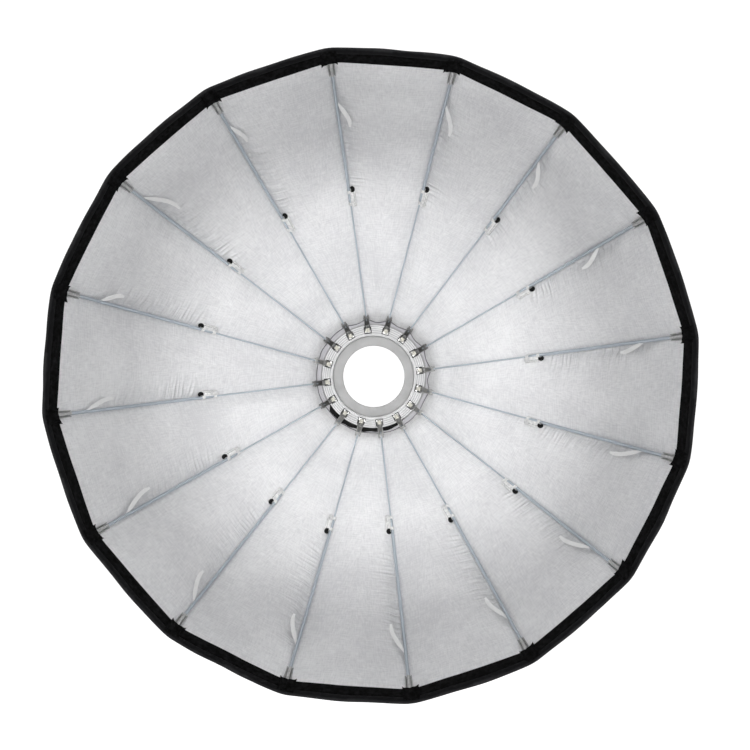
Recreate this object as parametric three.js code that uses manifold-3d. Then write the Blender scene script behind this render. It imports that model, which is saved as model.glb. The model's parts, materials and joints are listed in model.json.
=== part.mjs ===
// A deep parabolic softbox with sixteen folding ribs, in millimetres, +Z up.
// The optical axis is Y. The light is fixed behind the hub at +Y, and the open mouth faces -Y.
// The origin is the centre of the hub's rear mounting face.
import * as THREE from 'three';
import { mergeVertices } from 'three/addons/utils/BufferGeometryUtils.js';
import Module from 'manifold-3d';

const wasm = await Module();
wasm.setup();

// Layout of the ribs round the axis.
const RIB_COUNT = 16;
const FIRST_RIB_DEG = 7;
const RIB_STEP_DEG = 360 / RIB_COUNT;
const HALF_PANEL = Math.PI / RIB_COUNT;
const RING_SEGMENTS = 3 * RIB_COUNT;
const GAP = 0.3;
const CUT_THROUGH = 5;

// The rib's centre line is a parabola that starts at the root, seen from the side.
const FOCAL_LENGTH = 100;
const PIVOT_R = 80;
const PIVOT_Y = -10;
const RIB_ROOT_R = 95;
const ROOT_SLOPE = RIB_ROOT_R / (2 * FOCAL_LENGTH);
const RIB_ROOT_Y = PIVOT_Y - (RIB_ROOT_R - PIVOT_R) * ROOT_SLOPE;

// The rib: a thin root rod, a thicker outer tube, the sleeve that joins them and the tip ferrule.
const BAR_SIDES = 5;
const WIRE_SIDES = 5;
const ROD_START_R = 90;
const ROD_RADIUS = 1.7;
const TUBE_RADIUS = 2.5;
const SLEEVE_RADIAL_LENGTH = 22;
const SLEEVE_RADIUS = 3.8;
const FERRULE_R = 419;
const FERRULE_RADIUS = 3.6;
const TIP_R = 436;

// The sleeves slide, and no two sit alike. This is each one's distance from the axis, from rib 01 on.
const SLEEVE_PLACES = [
  251, 268, 292, 284.5, 276.5, 269, 270, 264,
  256, 250, 240, 240, 232.5, 243, 270, 258.5,
];

// The folding arm at the rib's root.
const ARM_WIDTH = 8.4;
const ARM_HEIGHT = 7;
const ARM_WALL = 1.2;
const ARM_END_R = 101;
const CRIMP_LENGTH = 9;
const HEEL_RADIUS = 4.4;
const HEEL_SIDES = 12;
const PIN_HOLE_RADIUS = 1.75;
const PIN_HOLE_SIDES = 10;

// The fabric canopy.
const FABRIC_STAND_OFF = 5;
const FABRIC_THICKNESS = 1.2;
const CANOPY_START_R = 97;
const CANOPY_RIM_R = 450.5;
const CANOPY_STEPS = 8;
const CANOPY_COLUMNS = 4;
const PANEL_SAG = 0.012;
const SEAM_GAP = 0.15;

// The hub.
const HOLE_R = 50;
const INSERT_R = 69.7;
const INSERT_DEPTH = 3.7;
const BAYONET_R = 52.8;
const BAYONET_LENGTH = 9;
const LUG_R = 56;
const LUG_HEIGHT = 3.2;
const LUG_COUNT = 3;
const LUG_ANGLE = Math.PI / 6;
const LUG_SEGMENTS = 5;
const FLANGE_R = 97;
const FLANGE_DEPTH = 4;
const DRUM_INNER_R = 66;
const DRUM_OUTER_R = 83;
const DRUM_FRONT_Y = -25;
const COVER_FRONT_Y = -28;
const SLOT_WIDTH = 9.4;
const SLOT_INNER_R = 70.6;
const SLOT_FLOOR_Y = -4.5;
const WINDOW_EASE = 0.2;
const HINGE_WIRE_RADIUS = 1.2;
const HINGE_CHANNEL_RADIUS = 1.8;
const COLLAR_INNER_R = 85.5;
const COLLAR_OUTER_R = 95.8;
const COLLAR_FRONT_Y = -7.6;
const HEM_INNER_R = 96.2;
const HEM_OUTER_R = 98.6;
const HEM_FRONT_Y = -10;

// The release latches and the spring behind them.
const LATCH_INNER_R = 71;
const LATCH_STEM_R = 75;
const LATCH_PAD_R = 78;
const LATCH_PAD_Y = -24.4;
const LATCH_FRONT_Y = -27.6;
const LATCH_REAR_Y = -9;
const LATCH_WIDTH = 8.4;
const SPRING_REAR_Y = -4.9;
const SPRING_FRONT_Y = -5.6;

// The screws that hold the insert in the hub.
const SCREW_R = 68.4;
const SCREW_PANELS = [0, 5, 11];
const SCREW_HEAD_RADIUS = 3;
const SCREW_HEAD_DEPTH = 1.6;
const SCREW_HEAD_SIDES = 14;
const SCREW_SHANK_RADIUS = 1.4;
const SCREW_SHANK_SIDES = 10;
const SCREW_LENGTH = 10;
const SCREW_TIP_SPACE = 2;
const SOCKET_RADIUS = 1.3;
const SOCKET_DEPTH = 2;

const STEEL = { color: 0xb9bbbd, roughness: 0.28, metalness: 1 };
const BLUED_STEEL = { color: 0x9aa7b4, roughness: 0.3, metalness: 1 };
const CAST_ALUMINIUM = { color: 0xa6a6a6, roughness: 0.5, metalness: 1 };
const LIGHT_ALUMINIUM = { color: 0xdddde0, roughness: 0.35, metalness: 1 };
const DARK_ALUMINIUM = { color: 0x8f8c98, roughness: 0.5, metalness: 1 };
const CREAM_PLASTIC = { color: 0xe6e2d6, roughness: 0.5, metalness: 0 };
const SILVER_FABRIC = { color: 0xc9cacd, roughness: 0.6, metalness: 0.3 };
const BLACK_FABRIC = { color: 0x17171a, roughness: 0.9, metalness: 0 };

const softbox = new THREE.Group();

function addMesh(name, geometry, look, angleDeg = 0) {
  const mesh = new THREE.Mesh(geometry, new THREE.MeshStandardMaterial(look));
  mesh.name = name;
  mesh.rotation.y = -THREE.MathUtils.degToRad(angleDeg);
  softbox.add(mesh);
}

function numbered(name, index) {
  return `${name}_${String(index + 1).padStart(2, '0')}`;
}

function ribAngle(index) {
  return FIRST_RIB_DEG + RIB_STEP_DEG * index;
}

// Solids for booleans.

function toSolid(geometry) {
  geometry.deleteAttribute('normal');
  geometry.deleteAttribute('uv');
  const merged = mergeVertices(geometry, 1e-4);
  return new wasm.Manifold(new wasm.Mesh({
    numProp: 3,
    vertProperties: Float32Array.from(merged.attributes.position.array),
    triVerts: Uint32Array.from(merged.index.array),
  }));
}

function toGeometry(solid) {
  const mesh = solid.getMesh();
  const geometry = new THREE.BufferGeometry();
  geometry.setAttribute('position', new THREE.BufferAttribute(mesh.vertProperties, 3));
  geometry.setIndex(new THREE.BufferAttribute(mesh.triVerts, 1));
  geometry.computeVertexNormals();
  return geometry;
}

// A ring turned about the Y axis. Its outline is [radius, y] corners, anticlockwise.
function ringGeometry(corners) {
  const points = [...corners, corners[0]].map(([r, y]) => new THREE.Vector2(r, y));
  return new THREE.LatheGeometry(points, RING_SEGMENTS);
}

// A box between two radii and two heights, centred on the rib's plane.
function radialBox(innerR, outerR, lowY, highY, width) {
  const box = new THREE.BoxGeometry(outerR - innerR, highY - lowY, width);
  return box.translate((innerR + outerR) / 2, (lowY + highY) / 2, 0);
}

// The same cutter at every rib, as one solid.
function atEveryRib(makeGeometry) {
  let all = null;
  for (let i = 0; i < RIB_COUNT; i++) {
    const turned = makeGeometry().rotateY(-THREE.MathUtils.degToRad(ribAngle(i)));
    const solid = toSolid(turned);
    all = all ? all.add(solid) : solid;
  }
  return all;
}

// The rib's centre line: its height, and the unit normal that points away from the axis.

function ribY(r) {
  return RIB_ROOT_Y - (r * r - RIB_ROOT_R * RIB_ROOT_R) / (4 * FOCAL_LENGTH);
}

function outwardNormal(r) {
  return new THREE.Vector2(r / (2 * FOCAL_LENGTH), 1).normalize();
}

// A round bar that follows the centre line. Each station is [radius from the axis, bar radius].
function barGeometry(stations) {
  const steps = stations.length - 1;
  const bar = new THREE.CylinderGeometry(1, 1, steps, BAR_SIDES, steps);
  const position = bar.attributes.position;
  for (let i = 0; i < position.count; i++) {
    const [r, radius] = stations[Math.round(position.getY(i) + steps / 2)];
    const normal = outwardNormal(r);
    const inward = -radius * position.getX(i);
    position.setXYZ(i, r + normal.x * inward, ribY(r) + normal.y * inward, radius * position.getZ(i));
  }
  return bar;
}

function evenStations(fromR, toR, count, radius) {
  return Array.from({ length: count }, (_, i) => [fromR + ((toR - fromR) * i) / (count - 1), radius]);
}

function ribBarGeometry(sleeveR) {
  const sleeveIn = sleeveR - SLEEVE_RADIAL_LENGTH / 2;
  const sleeveOut = sleeveR + SLEEVE_RADIAL_LENGTH / 2;
  const edge = 0.3;
  return barGeometry([
    ...evenStations(ROD_START_R, sleeveIn, 4, ROD_RADIUS),
    ...evenStations(sleeveIn + edge, sleeveOut, 2, SLEEVE_RADIUS),
    ...evenStations(sleeveOut + edge, FERRULE_R, 5, TUBE_RADIUS),
    ...evenStations(FERRULE_R + edge, TIP_R, 2, FERRULE_RADIUS),
  ]);
}

// A U-shaped steel arm, open to the front, with a crimped end for the rod and a round heel.
function armSolid() {
  const slopeAngle = -Math.atan(ROOT_SLOPE);
  const length = (ARM_END_R - PIVOT_R) / Math.cos(slopeAngle);
  const outside = new THREE.BoxGeometry(length, ARM_HEIGHT, ARM_WIDTH).translate(length / 2, 0, 0);
  const hollowLength = length - CRIMP_LENGTH;
  const hollow = new THREE.BoxGeometry(2 * hollowLength, ARM_HEIGHT, ARM_WIDTH - 2 * ARM_WALL);
  hollow.translate(0, -ARM_WALL, 0);
  const heel = new THREE.CylinderGeometry(HEEL_RADIUS, HEEL_RADIUS, ARM_WIDTH, HEEL_SIDES);
  const pinHole = new THREE.CylinderGeometry(PIN_HOLE_RADIUS, PIN_HOLE_RADIUS, 2 * ARM_WIDTH, PIN_HOLE_SIDES);
  const parts = [outside, hollow, heel.rotateX(Math.PI / 2), pinHole.rotateX(Math.PI / 2)];
  const [block, cut, knuckle, pin] = parts.map((part) => {
    part.rotateZ(slopeAngle);
    part.translate(PIVOT_R, PIVOT_Y, 0);
    return toSolid(part);
  });
  return block.subtract(cut).add(knuckle).subtract(pin);
}

function addRibs() {
  const arm = armSolid();
  for (const [index, sleeveR] of SLEEVE_PLACES.entries()) {
    const rib = arm.add(toSolid(ribBarGeometry(sleeveR)));
    addMesh(numbered('rib', index), toGeometry(rib), BLUED_STEEL, ribAngle(index));
  }
}

// A fabric gore, from mid-panel to mid-panel, with its fold on the rib.

function gorePoint(across, r, standOff) {
  const normal = outwardNormal(r);
  const cornerR = r + normal.x * standOff;
  const y = ribY(r) + normal.y * standOff;
  const side = Math.sign(across);
  const middleR = cornerR * Math.cos(HALF_PANEL);
  const halfWidth = cornerR * Math.sin(HALF_PANEL);
  const toMiddle = 2 * Math.abs(across) * (1 - SEAM_GAP / halfWidth);
  const chordX = THREE.MathUtils.lerp(cornerR, middleR * Math.cos(HALF_PANEL), toMiddle);
  const chordZ = side * toMiddle * middleR * Math.sin(HALF_PANEL);
  const sag = PANEL_SAG * cornerR * toMiddle * (2 - toMiddle);
  const x = chordX - sag * Math.cos(HALF_PANEL);
  const z = chordZ - side * sag * Math.sin(HALF_PANEL) * toMiddle;
  return [x, y, z];
}

function goreGeometry() {
  const gore = new THREE.BoxGeometry(1, 1, 1, CANOPY_COLUMNS, CANOPY_STEPS, 1);
  const position = gore.attributes.position;
  for (let i = 0; i < position.count; i++) {
    const r = THREE.MathUtils.lerp(CANOPY_START_R, CANOPY_RIM_R, position.getY(i) + 0.5);
    const standOff = FABRIC_STAND_OFF + FABRIC_THICKNESS * (position.getZ(i) + 0.5);
    position.setXYZ(i, ...gorePoint(position.getX(i), r, standOff));
  }
  return gore;
}

function addCanopy() {
  const gore = toGeometry(toSolid(goreGeometry()));
  for (let i = 0; i < RIB_COUNT; i++) {
    addMesh(numbered('canopy_gore', i), gore, SILVER_FABRIC, ribAngle(i));
  }
}

// The mounting insert: a flat ring with a short bayonet collar and lugs behind it.

function lugGeometry() {
  const lug = new THREE.Shape();
  lug.absarc(0, 0, LUG_R, -LUG_ANGLE / 2, LUG_ANGLE / 2, false);
  lug.absarc(0, 0, (HOLE_R + BAYONET_R) / 2, LUG_ANGLE / 2, -LUG_ANGLE / 2, true);
  lug.closePath();
  const options = { depth: LUG_HEIGHT, bevelEnabled: false, curveSegments: LUG_SEGMENTS };
  return new THREE.ExtrudeGeometry(lug, options).rotateX(-Math.PI / 2);
}

function screwHoles() {
  const headRadius = SCREW_HEAD_RADIUS + GAP;
  const headDepth = SCREW_HEAD_DEPTH + 2 * GAP;
  const shankRadius = SCREW_SHANK_RADIUS + GAP;
  const shankDepth = SCREW_LENGTH + SCREW_TIP_SPACE;
  let holes = null;
  for (const panel of SCREW_PANELS) {
    const head = new THREE.CylinderGeometry(headRadius, headRadius, 2 * headDepth, SCREW_HEAD_SIDES);
    const shank = new THREE.CylinderGeometry(shankRadius, shankRadius, 2 * shankDepth, SCREW_SHANK_SIDES);
    for (const part of [head, shank]) {
      const solid = toSolid(atScrew(part, panel));
      holes = holes ? holes.add(solid) : solid;
    }
  }
  return holes;
}

function atScrew(geometry, panel) {
  const angle = THREE.MathUtils.degToRad(ribAngle(panel + 0.5));
  return geometry.translate(SCREW_R, 0, 0).rotateY(-angle);
}

function addInsert(holes) {
  let insert = toSolid(ringGeometry([
    [HOLE_R, -INSERT_DEPTH],
    [INSERT_R, -INSERT_DEPTH],
    [INSERT_R, 0],
    [BAYONET_R, 0],
    [BAYONET_R, BAYONET_LENGTH],
    [HOLE_R, BAYONET_LENGTH],
  ]));
  for (let i = 0; i < LUG_COUNT; i++) {
    const lug = lugGeometry().translate(0, BAYONET_LENGTH - LUG_HEIGHT, 0);
    insert = insert.add(toSolid(lug.rotateY((2 * Math.PI * i) / LUG_COUNT)));
  }
  addMesh('mount_insert', toGeometry(insert.subtract(holes)), CAST_ALUMINIUM);
}

function addScrews() {
  for (const [index, panel] of SCREW_PANELS.entries()) {
    const head = new THREE.CylinderGeometry(
      SCREW_HEAD_RADIUS, SCREW_HEAD_RADIUS, SCREW_HEAD_DEPTH, SCREW_HEAD_SIDES);
    const shank = new THREE.CylinderGeometry(
      SCREW_SHANK_RADIUS, SCREW_SHANK_RADIUS, SCREW_LENGTH, SCREW_SHANK_SIDES);
    const socket = new THREE.CylinderGeometry(SOCKET_RADIUS, SOCKET_RADIUS, SOCKET_DEPTH, 6);
    head.translate(0, -GAP - SCREW_HEAD_DEPTH / 2, 0);
    shank.translate(0, -GAP - SCREW_LENGTH / 2, 0);
    const [headSolid, shankSolid, socketSolid] = [head, shank, socket].map((part) => (
      toSolid(atScrew(part, panel))
    ));
    const screw = headSolid.add(shankSolid).subtract(socketSolid);
    addMesh(numbered('insert_screw', index), toGeometry(screw), STEEL);
  }
}

// The hub body: a rear flange and a drum with a slot for every rib.
function addHubBody(holes) {
  const blank = toSolid(ringGeometry([
    [DRUM_INNER_R, DRUM_FRONT_Y],
    [DRUM_OUTER_R, DRUM_FRONT_Y],
    [DRUM_OUTER_R, -FLANGE_DEPTH],
    [FLANGE_R, -FLANGE_DEPTH],
    [FLANGE_R, 0],
    [INSERT_R + GAP, 0],
    [INSERT_R + GAP, -INSERT_DEPTH - GAP],
    [DRUM_INNER_R, -INSERT_DEPTH - GAP],
  ]));
  const slots = atEveryRib(() => (
    radialBox(SLOT_INNER_R, FLANGE_R, DRUM_FRONT_Y - CUT_THROUGH, SLOT_FLOOR_Y, SLOT_WIDTH)
  ));
  const channel = new THREE.TorusGeometry(PIVOT_R, HINGE_CHANNEL_RADIUS, WIRE_SIDES, RING_SEGMENTS);
  const hingeChannel = toSolid(channel.rotateX(Math.PI / 2).translate(0, PIVOT_Y, 0));
  const springGroove = toSolid(ringGeometry([
    [LATCH_INNER_R, SPRING_FRONT_Y - GAP],
    [LATCH_STEM_R, SPRING_FRONT_Y - GAP],
    [LATCH_STEM_R, SLOT_FLOOR_Y],
    [LATCH_INNER_R, SLOT_FLOOR_Y],
  ]));
  const body = blank.subtract(slots).subtract(hingeChannel).subtract(springGroove).subtract(holes);
  addMesh('hub_body', toGeometry(body), CAST_ALUMINIUM);
}

function addFrontCover() {
  const lip = 0.8;
  const blank = toSolid(ringGeometry([
    [DRUM_INNER_R, COVER_FRONT_Y - lip],
    [DRUM_INNER_R + lip, COVER_FRONT_Y - lip],
    [DRUM_INNER_R + 2 * lip, COVER_FRONT_Y],
    [DRUM_OUTER_R - lip, COVER_FRONT_Y],
    [DRUM_OUTER_R, COVER_FRONT_Y + lip],
    [DRUM_OUTER_R, DRUM_FRONT_Y - GAP],
    [DRUM_INNER_R, DRUM_FRONT_Y - GAP],
  ]));
  const innerR = SLOT_INNER_R - WINDOW_EASE;
  const width = SLOT_WIDTH + 2 * WINDOW_EASE;
  const windows = atEveryRib(() => (
    radialBox(innerR, FLANGE_R, COVER_FRONT_Y - CUT_THROUGH, DRUM_FRONT_Y + CUT_THROUGH, width)
  ));
  addMesh('front_cover_ring', toGeometry(blank.subtract(windows)), LIGHT_ALUMINIUM);
}

function addCollarRing() {
  addMesh('collar_ring', ringGeometry([
    [COLLAR_INNER_R, COLLAR_FRONT_Y],
    [COLLAR_OUTER_R - 1.6, COLLAR_FRONT_Y],
    [COLLAR_OUTER_R, COLLAR_FRONT_Y + 1.6],
    [COLLAR_OUTER_R, -FLANGE_DEPTH - GAP],
    [COLLAR_INNER_R, -FLANGE_DEPTH - GAP],
  ]), DARK_ALUMINIUM);
}

// The rolled hem that ties the canopy's neck behind the collar.
function addNeckHem() {
  const rearY = -FLANGE_DEPTH - 2 * GAP;
  addMesh('neck_hem', ringGeometry([
    [HEM_INNER_R, HEM_FRONT_Y],
    [HEM_OUTER_R, HEM_FRONT_Y],
    [HEM_OUTER_R, rearY],
    [HEM_INNER_R, rearY],
  ]), BLACK_FABRIC);
}

// One round wire runs through every arm's heel and is the hinge pin of them all.
function addHingeRing() {
  const wire = new THREE.TorusGeometry(PIVOT_R, HINGE_WIRE_RADIUS, WIRE_SIDES, RING_SEGMENTS);
  addMesh('hinge_ring', wire.rotateX(Math.PI / 2).translate(0, PIVOT_Y, 0), STEEL);
}

function addLatchSpring() {
  const clearance = 0.2;
  addMesh('latch_spring_ring', ringGeometry([
    [LATCH_INNER_R + clearance, SPRING_FRONT_Y],
    [LATCH_STEM_R - clearance, SPRING_FRONT_Y],
    [LATCH_STEM_R - clearance, SPRING_REAR_Y],
    [LATCH_INNER_R + clearance, SPRING_REAR_Y],
  ]), STEEL);
}

// A release latch: a stem in the slot with a thumb pad that overhangs the arm's heel.
function addLatches() {
  const chamfer = 0.8;
  const side = new THREE.Shape([
    new THREE.Vector2(LATCH_INNER_R, LATCH_REAR_Y),
    new THREE.Vector2(LATCH_INNER_R, LATCH_FRONT_Y),
    new THREE.Vector2(LATCH_PAD_R - chamfer, LATCH_FRONT_Y),
    new THREE.Vector2(LATCH_PAD_R, LATCH_FRONT_Y + chamfer),
    new THREE.Vector2(LATCH_PAD_R, LATCH_PAD_Y - chamfer),
    new THREE.Vector2(LATCH_STEM_R, LATCH_PAD_Y + chamfer),
    new THREE.Vector2(LATCH_STEM_R, LATCH_REAR_Y),
  ]);
  const latch = new THREE.ExtrudeGeometry(side, { depth: LATCH_WIDTH, bevelEnabled: false });
  latch.translate(0, 0, -LATCH_WIDTH / 2);
  for (let i = 0; i < RIB_COUNT; i++) {
    addMesh(numbered('release_latch', i), latch, CREAM_PLASTIC, ribAngle(i));
  }
}

const holes = screwHoles();
addInsert(holes);
addScrews();
addHubBody(holes);
addFrontCover();
addCollarRing();
addNeckHem();
addHingeRing();
addLatchSpring();
addLatches();
addRibs();
addCanopy();

export default softbox;
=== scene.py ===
"""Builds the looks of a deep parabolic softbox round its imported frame: cloth, rim, ribs, hub and stage."""

import json
import math
import random

import bmesh
import bpy
from bpy.props import FloatProperty, FloatVectorProperty, IntProperty, PointerProperty
from mathutils import Matrix, Quaternion, Vector, noise


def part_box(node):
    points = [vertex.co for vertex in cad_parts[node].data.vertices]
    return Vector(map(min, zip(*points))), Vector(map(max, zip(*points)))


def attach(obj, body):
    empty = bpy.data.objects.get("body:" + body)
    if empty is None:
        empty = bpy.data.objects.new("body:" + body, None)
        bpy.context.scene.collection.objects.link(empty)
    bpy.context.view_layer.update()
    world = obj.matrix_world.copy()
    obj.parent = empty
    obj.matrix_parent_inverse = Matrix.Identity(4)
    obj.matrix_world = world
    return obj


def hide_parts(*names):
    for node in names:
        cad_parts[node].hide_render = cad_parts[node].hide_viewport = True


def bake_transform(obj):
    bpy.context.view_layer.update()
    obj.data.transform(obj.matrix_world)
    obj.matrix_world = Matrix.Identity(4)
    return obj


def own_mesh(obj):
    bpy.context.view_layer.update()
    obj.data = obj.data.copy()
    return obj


bl_info = {
    "name": "Deep parabolic softbox",
    "version": (1, 0, 0),
    "blender": (4, 5, 0),
    "location": "View3D > Sidebar > Softbox",
    "description": "Builds the cloth, ribs, hub fittings and stage of a folding parabolic softbox",
    "category": "Add Mesh",
}

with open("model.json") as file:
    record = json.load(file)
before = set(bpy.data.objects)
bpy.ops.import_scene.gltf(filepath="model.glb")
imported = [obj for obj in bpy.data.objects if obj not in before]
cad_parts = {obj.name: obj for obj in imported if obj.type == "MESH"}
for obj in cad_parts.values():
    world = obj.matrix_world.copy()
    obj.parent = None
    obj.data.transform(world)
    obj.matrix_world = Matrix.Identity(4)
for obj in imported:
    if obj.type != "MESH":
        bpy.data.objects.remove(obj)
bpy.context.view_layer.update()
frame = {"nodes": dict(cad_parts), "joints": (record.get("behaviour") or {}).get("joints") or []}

# What the frame says: the ribs' fold hinges lie on a circle round the optical axis, which is Y.
FOLDS = [joint for joint in frame["joints"] if joint["name"].startswith("rib_fold")]
RIB_COUNT = len(FOLDS)
RIB_STEP = 2 * math.pi / RIB_COUNT
HALF_PANEL = RIB_STEP / 2
FIRST_PIVOT = Vector(FOLDS[0]["pos_m"])
PIVOT_R = math.hypot(FIRST_PIVOT.x, FIRST_PIVOT.z)
PIVOT_Y = FIRST_PIVOT.y
FIRST_ANGLE = math.atan2(FIRST_PIVOT.z, FIRST_PIVOT.x)

# The rib's centre line is a parabola. It meets the arm's straight line at the root.
FOCAL = 0.1
ROOT_R = 0.095
ROOT_SLOPE = ROOT_R / (2 * FOCAL)
ROOT_Y = PIVOT_Y - (ROOT_R - PIVOT_R) * ROOT_SLOPE

# Where things lie along a rib, as distances from the optical axis.
ARM_END_R = 0.0988
FERRULE_R = 0.4222
TIP_R = 0.4355
BAND_R = 0.4335
RIM_R = 0.4460
CLOTH_STAND_OFF = 0.005
NECK_EDGE_R = 0.0908
NECK_BEND_R = 0.0965
BAND_ENDS = [0.118, 0.142, 0.172, 0.208, 0.250, 0.294, 0.336, 0.374, 0.410, RIM_R]

# The camera's distance from the rim is fitted, and half the width of its view at the rim.
CAMERA_DISTANCE = 2.55
HALF_VIEW = 0.5156
FLOOR_SIDE = 14
FLOOR_Z = -1.15

# The sleeves slide, and no two sit alike. This is each one's distance from the axis, from rib 01 on.
SLEEVE_PLACES = [0.251, 0.268, 0.292, 0.2845, 0.2765, 0.269, 0.270, 0.264,
                 0.256, 0.250, 0.240, 0.240, 0.2325, 0.243, 0.270, 0.2585]

# The ribs whose arms take the dark copy of the arm steel: painted shade for the dark studio that their
# channels reflect.
PAINTED_SHADE_ARMS = (1, 2, 3, 4, 5, 6, 8, 9)

# Each keeper loop: where it leaves its tube, where it is tacked down, and how far clockwise that is.
LOOP_PLACES = [
    (0.3903, 0.3621, 0.0118), (0.3756, 0.3482, 0.0166), (0.3882, 0.3620, 0.0183), (0.3966, 0.3672, 0.0173),
    (0.3916, 0.3646, 0.0150), (0.4042, 0.3799, 0.0125), (0.4065, 0.3710, 0.0217), (0.3974, 0.3745, 0.0158),
    (0.4040, 0.3737, 0.0144), (0.3976, 0.3623, 0.0183), (0.4053, 0.3727, 0.0189), (0.3951, 0.3644, 0.0167),
    (0.3951, 0.3631, 0.0170), (0.3938, 0.3631, 0.0160), (0.3951, 0.3613, 0.0167), (0.3976, 0.3644, 0.0157),
]

# The hub, from its edges in the frame.
HOLE_R = 0.05
INSERT_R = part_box("mount_insert")[1].x
FLANGE_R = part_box("hub_body")[1].x
DRUM_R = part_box("front_cover_ring")[1].x
DRUM_INNER_R = 0.066
COVER_FRONT = -0.028
COVER_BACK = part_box("front_cover_ring")[1].y
COLLAR_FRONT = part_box("collar_ring")[0].y
HEM_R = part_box("neck_hem")[1].x
SLOT_HALF = 0.0047
SLOT_INNER_R = 0.0706


# ---------------------------------------------------------------- settings


class SoftboxSizes(bpy.types.PropertyGroup):
    """Sizes a maker would change."""

    cloth_thickness: FloatProperty(
        name="Cloth thickness", description="Thickness of the coated cloth",
        default=0.0005, min=0.0002, max=0.001, unit="LENGTH", precision=4)
    rod_radius: FloatProperty(
        name="Root rod radius", description="Radius of the thin rod from the arm to the sleeve",
        default=0.0012, unit="LENGTH", precision=4)
    tube_radius: FloatProperty(
        name="Outer tube radius", description="Radius of the tube from the sleeve to the rim",
        default=0.0024, unit="LENGTH", precision=4)
    panel_sag: FloatProperty(
        name="Panel sag", description="Inward sag of each panel, as a share of its distance from the axis",
        default=0.011, subtype="FACTOR")
    webbing_width: FloatProperty(
        name="Webbing width", description="Width of the white keeper loops",
        default=0.0060, unit="LENGTH", precision=4)
    pocket_width: FloatProperty(
        name="Pocket width", description="Width of the corner pockets across the rib",
        default=0.023, unit="LENGTH", precision=4)
    columns: IntProperty(
        name="Cloth columns", description="Faces across each gore", default=30, min=8, max=60)


class SoftboxColours(bpy.types.PropertyGroup):
    """Colours of the finishes."""

    silver: FloatVectorProperty(
        name="Silver coating", description="Coated side of the cloth",
        default=(0.81, 0.81, 0.813), subtype="COLOR", size=3)
    black: FloatVectorProperty(
        name="Black nylon", description="Outer side of the cloth",
        default=(0.012, 0.012, 0.013), subtype="COLOR", size=3)
    steel: FloatVectorProperty(
        name="Rib steel", description="Spring steel of the ribs",
        default=(0.52, 0.57, 0.62), subtype="COLOR", size=3)
    latch: FloatVectorProperty(
        name="Latch plastic", description="Moulded release latches",
        default=(0.78, 0.76, 0.68), subtype="COLOR", size=3)


# ---------------------------------------------------------------- shapes


def rib_angle(rib):
    return FIRST_ANGLE + RIB_STEP * rib


def rib_name(base, rib):
    return f"{base}_{rib + 1:02d}"


def rib_height(r):
    return ROOT_Y - (r * r - ROOT_R * ROOT_R) / (4 * FOCAL)


def rib_normal(r):
    """Away from the axis and back towards the light, as (outward, rearward)."""
    return Vector((r / (2 * FOCAL), 1)).normalized()


def turned(angle, r, y, side):
    """A point at distance r, height y and side metres anticlockwise, turned round the axis by angle."""
    cosine, sine = math.cos(angle), math.sin(angle)
    return Vector((r * cosine - side * sine, y, r * sine + side * cosine))


def on_rib(rib, r, lift=0.0, side=0.0):
    """A point beside rib's centre line. lift is away from the axis and side is anticlockwise."""
    normal = rib_normal(r)
    return turned(rib_angle(rib), r + normal.x * lift, rib_height(r) + normal.y * lift, side)


def along_rib(r_from, r_to):
    """The length of the rib's centre line between two distances from the axis."""
    def primitive(r):
        x = r / (2 * FOCAL)
        return FOCAL * (x * math.hypot(1, x) + math.asinh(x))
    return primitive(r_to) - primitive(r_from)


def smooth(low, high, value):
    t = min(1.0, max(0.0, (value - low) / (high - low)))
    return t * t * (3 - 2 * t)


def cloth_relief(panel, q, r):
    """How far a panel's cloth stands off its even curve, towards the axis. q is 0 and 1 at its ribs."""
    seed = panel * 7.31
    chord = 2 * r * math.sin(HALF_PANEL)
    low_rib, high_rib = q * chord, (1 - q) * chord
    free = smooth(0, 0.02, min(low_rib, high_rib))
    free *= 1 - smooth(0.415, 0.44, r)
    slack = 0.0014 * noise.noise(Vector((q * 2.2, r * 9, seed)))
    slack += 0.0006 * noise.noise(Vector((q * 5.5, r * 26, seed + 3)))
    tension = 0.00018 * math.sin(34 * q + 21 * r + seed) * smooth(0.15, 0.3, r)
    relief = free * (slack + tension)
    for distance, strength, offset in ((high_rib, 1.0, 11), (low_rib, 0.35, 17)):
        ragged = noise.noise(Vector((r * 30, offset, seed)))
        reach = 0.014 + 0.006 * ragged
        wave = math.sin(r * 2 * math.pi / 0.0125 + 5 * ragged + distance * 60)
        where = smooth(0.19, 0.28, r) * (1 - smooth(0.385, 0.40, r))
        relief += strength * 0.0007 * where * wave * math.exp(-distance / reach) * smooth(0, 0.004, distance)
    valley = smooth(0.30, 0.35, r) * (1 - smooth(0.385, 0.405, r))
    relief -= 0.0032 * valley * math.exp(-((high_rib - 0.0080) / 0.0055) ** 2) * smooth(0, 0.003, high_rib)
    relief += 0.0012 * smooth(0.408, 0.430, r)
    crease = (r - 0.403) / 0.006 + (high_rib - 0.010) / 0.009
    relief += 0.0030 * math.exp(-crease * crease) * math.exp(-((high_rib - 0.011) / 0.009) ** 2)
    return relief


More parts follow.
